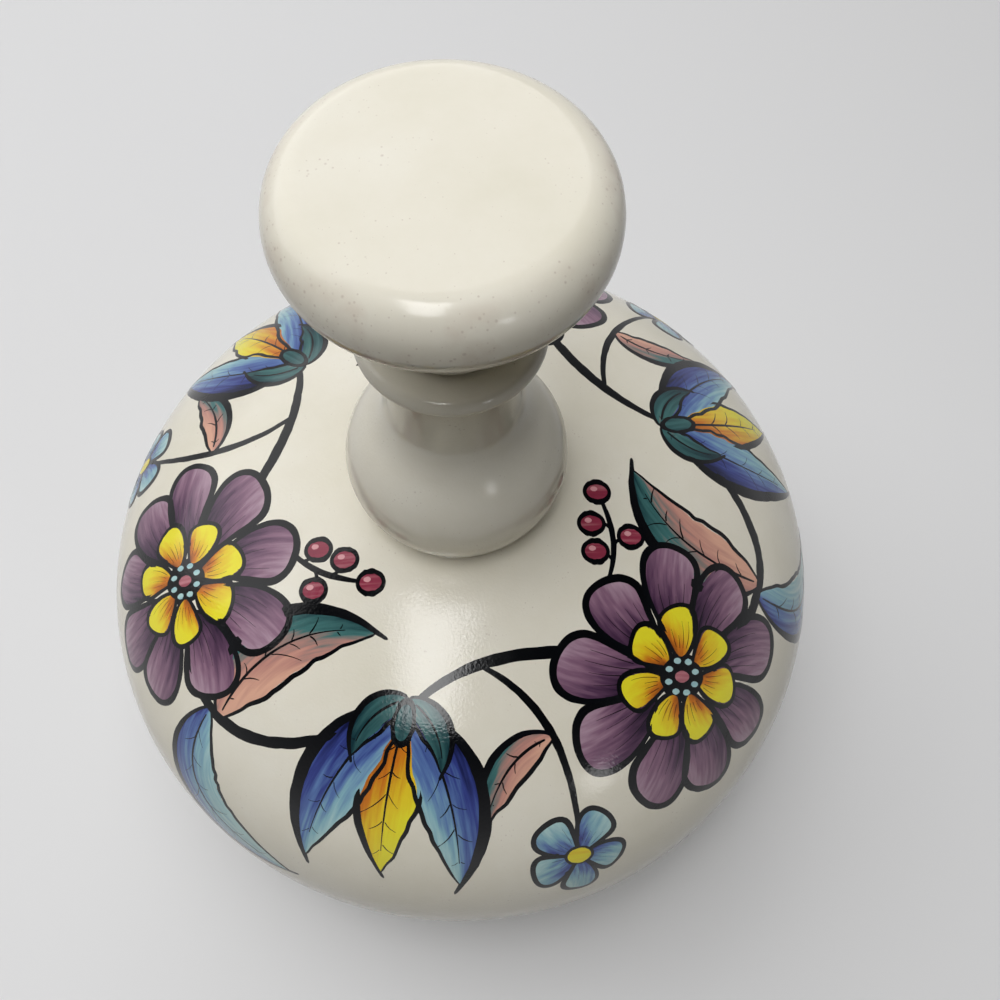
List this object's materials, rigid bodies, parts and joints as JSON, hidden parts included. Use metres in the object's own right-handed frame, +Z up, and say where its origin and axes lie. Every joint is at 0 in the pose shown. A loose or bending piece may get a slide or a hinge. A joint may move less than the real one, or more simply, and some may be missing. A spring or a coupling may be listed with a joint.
{
  "type": "ceramic decanter",
  "caption": "Squat round glazed ceramic decanter with a ball on its neck, a flanged pouring lip and a flat-topped button stopper in a cork sleeve that lifts out.",
  "frame": {"origin": "centre of the foot ring, on the surface that the decanter stands on", "axes": "+Z up along the axis that the bottle and stopper are turned about, -Y towards the side that the picture is taken from"},
  "size_m": [0.18, 0.18, 0.2013],
  "materials": {
    "bottle_glaze": "gloss ivory glaze with painted flowers",
    "stopper_glaze": "gloss ivory glaze",
    "cork": "natural cork"
  },
  "bodies": {
    "bottle": {"bottle": "bottle_glaze"},
    "stopper": {"stopper_head": "stopper_glaze", "stopper_cork": "cork"}
  },
  "joints": [
    {"name": "stopper_lift", "type": "slide", "parent": "bottle", "child": "stopper", "axis": [0, 0, 1], "range_m": [0, 0.045]}
  ]
}
